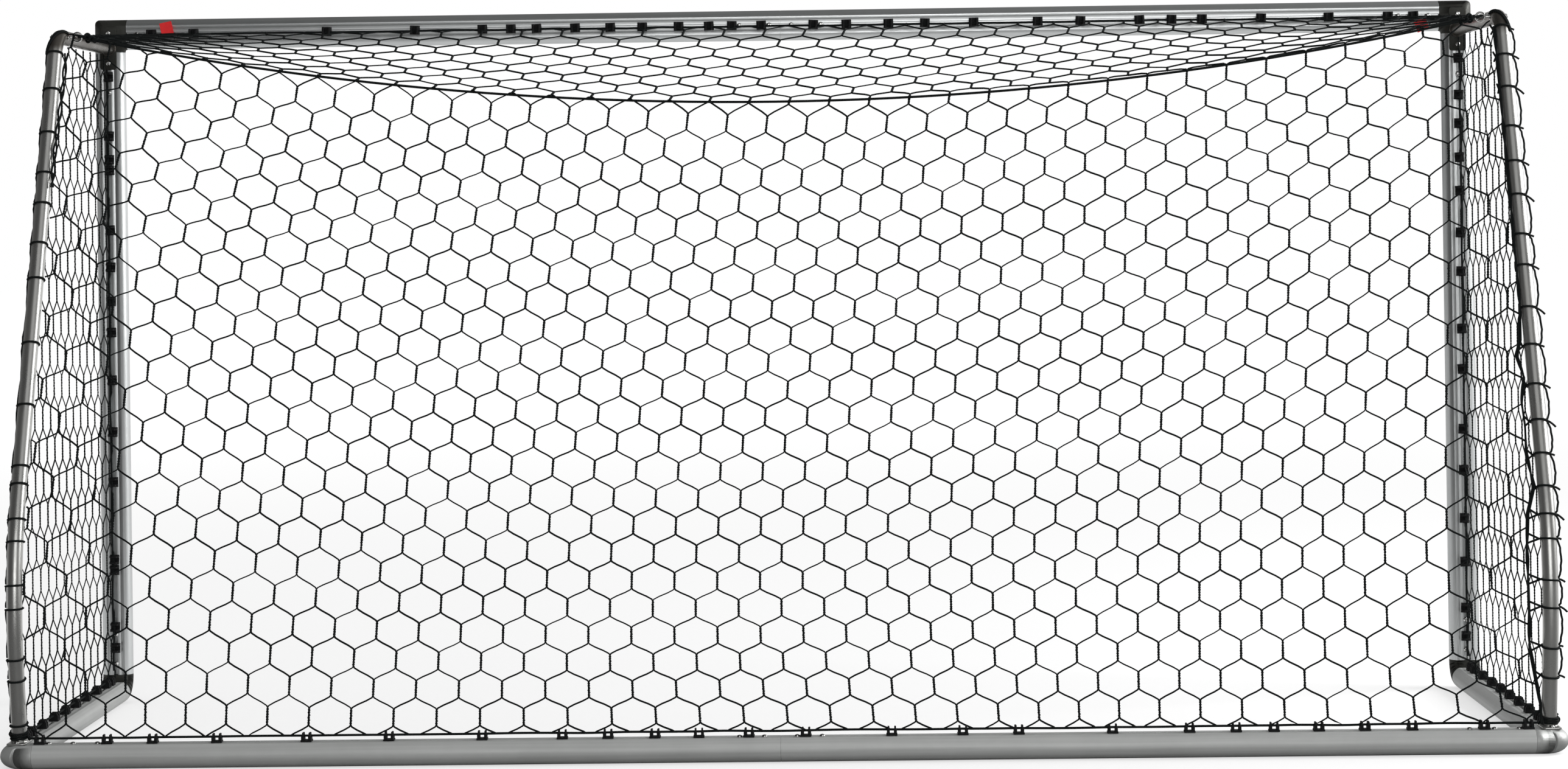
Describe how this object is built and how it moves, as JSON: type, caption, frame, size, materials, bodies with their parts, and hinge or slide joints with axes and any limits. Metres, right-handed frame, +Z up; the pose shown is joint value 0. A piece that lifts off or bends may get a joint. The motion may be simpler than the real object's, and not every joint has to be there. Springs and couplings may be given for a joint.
{
  "type": "soccer goal",
  "caption": "Free-standing soccer goal with hollow aluminium bars bolted to cast corners, bent rear stanchions, a ground frame and a black six-sided mesh net held by clips.",
  "frame": {"origin": "bottom centre of the whole goal, on the ground, midway between front and rear and between the posts", "axes": "+Z up, +X along the crossbar to the right as seen from the field, -Y out of the mouth towards the field, +Y towards the rear ground bar"},
  "size_m": [3.828, 1.23, 1.904],
  "materials": {
    "bar_aluminium": "brushed extrusion, satin",
    "ground_bar_aluminium": "dull satin extrusion, a little scuffed",
    "casting": "dark olive grey, satin, slightly rough casting",
    "stanchion_tube": "grey satin paint over tube",
    "bright_steel": "bright zinc or polished steel",
    "black_cord": "knotted polyethylene twine, matt",
    "clip_plastic": "moulded black plastic",
    "red_tag": "plain red, matt"
  },
  "bodies": {
    "root": {"crossbar_left_half": "bar_aluminium", "rear_bar_left_half": "ground_bar_aluminium", "left_post": "bar_aluminium", "left_side_ground_bar": "ground_bar_aluminium", "left_top_corner": "casting", "left_foot_corner": "casting", "left_rear_corner": "casting", "left_stanchion": "stanchion_tube", "left_eye_bolt": "bright_steel", "left_eye_nut": "bright_steel", "left_lacing": "black_cord", "left_side_net": "black_cord", "left_tag": "red_tag", "left_crossbar_end_bolts": "bright_steel", "left_post_top_bolts": "bright_steel", "left_post_foot_bolts": "bright_steel", "left_side_bar_front_bolts": "bright_steel", "left_side_bar_rear_bolts": "bright_steel", "left_rear_bar_end_bolts": "bright_steel", "left_flange_bolt": "bright_steel", "left_foot_bolt": "bright_steel", "left_post_net_clips": "clip_plastic", "left_side_bar_net_clips": "clip_plastic", "crossbar_right_half": "bar_aluminium", "rear_bar_right_half": "ground_bar_aluminium", "right_post": "bar_aluminium", "right_side_ground_bar": "ground_bar_aluminium", "right_top_corner": "casting", "right_foot_corner": "casting", "right_rear_corner": "casting", "right_stanchion": "stanchion_tube", "right_eye_bolt": "bright_steel", "right_eye_nut": "bright_steel", "right_lacing": "black_cord", "right_side_net": "black_cord", "right_tag": "red_tag", "right_crossbar_end_bolts": "bright_steel", "right_post_top_bolts": "bright_steel", "right_post_foot_bolts": "bright_steel", "right_side_bar_front_bolts": "bright_steel", "right_side_bar_rear_bolts": "bright_steel", "right_rear_bar_end_bolts": "bright_steel", "right_flange_bolt": "bright_steel", "right_foot_bolt": "bright_steel", "right_post_net_clips": "clip_plastic", "right_side_bar_net_clips": "clip_plastic", "crossbar_joint_sleeve": "bar_aluminium", "rear_bar_joint_sleeve": "bar_aluminium", "crossbar_joint_bolts": "bright_steel", "rear_bar_joint_bolts": "bright_steel", "crossbar_net_clips": "clip_plastic", "rear_bar_net_clips": "clip_plastic", "rear_top_rope": "black_cord", "rear_net": "black_cord", "roof_net": "black_cord"}
  },
  "joints": []
}
